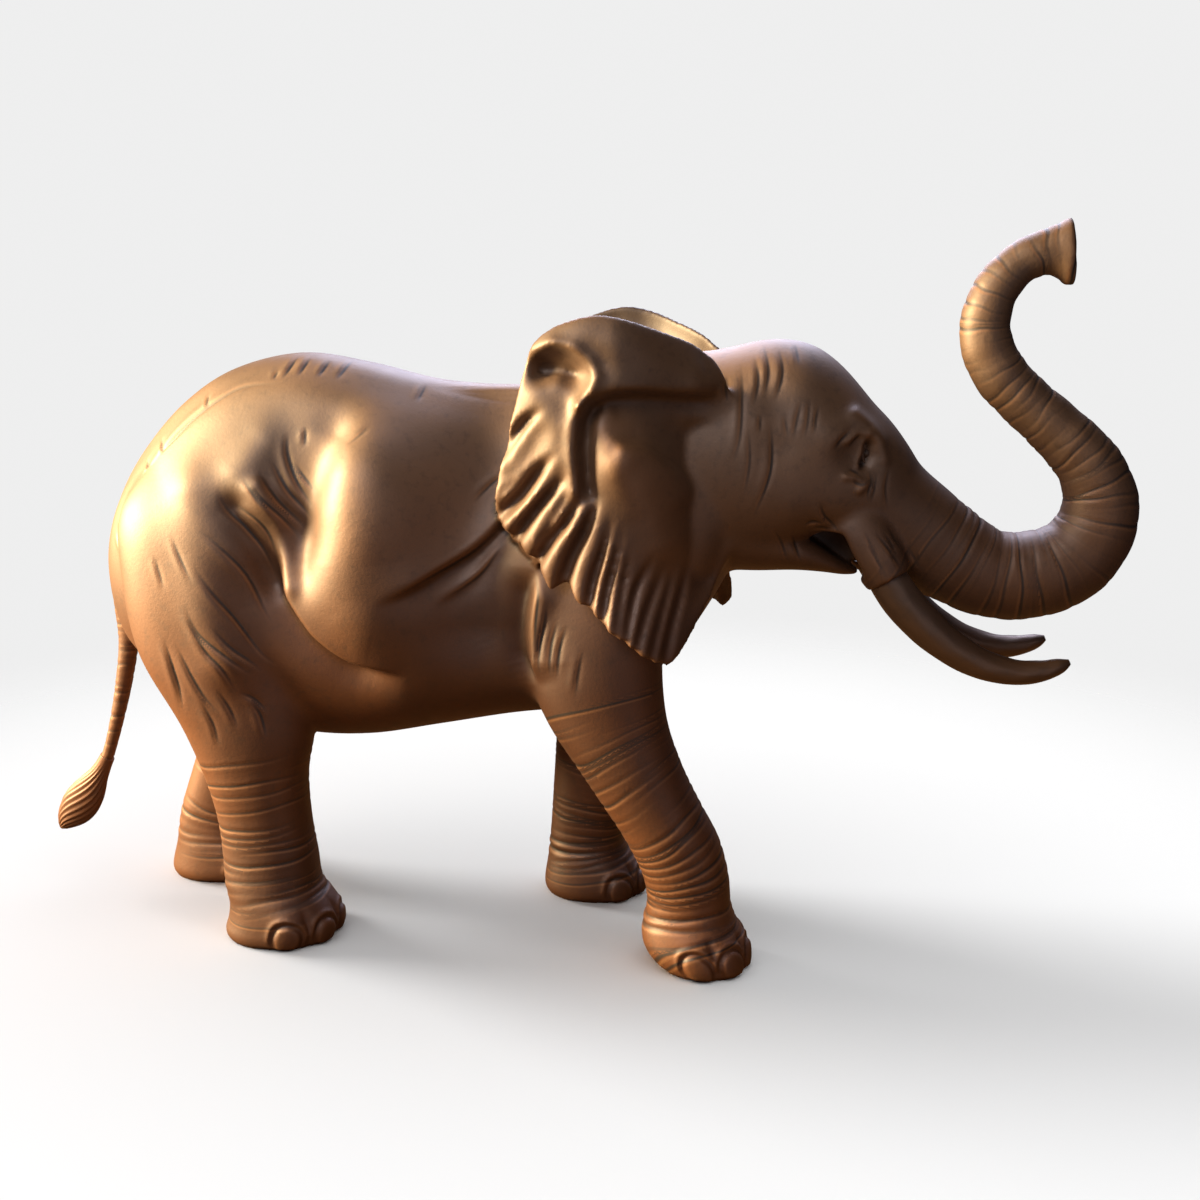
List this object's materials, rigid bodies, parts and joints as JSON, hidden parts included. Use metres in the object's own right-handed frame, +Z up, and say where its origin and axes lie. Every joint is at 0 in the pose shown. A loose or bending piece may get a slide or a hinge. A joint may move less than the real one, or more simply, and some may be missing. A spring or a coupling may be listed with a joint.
{
  "type": "bronze elephant sculpture",
  "caption": "Striding bronze elephant with an S-shaped raised trunk, spread fluted ears, upswept tusks and wrinkled skin, standing on its own feet",
  "frame": {"origin": "middle of the overall length and width, on the ground under the soles", "axes": "+X forwards, the way the elephant walks, +Y to the elephant's left, +Z up"},
  "size_m": [2.7966, 0.7468, 1.7968],
  "materials": {
    "bronze": "satin brown bronze patina, golden on the raised folds",
    "dark_bronze": "smooth dark grey-brown bronze patina"
  },
  "bodies": {
    "root": {"elephant": "bronze", "right_tusk": "dark_bronze", "left_tusk": "dark_bronze"}
  },
  "joints": []
}
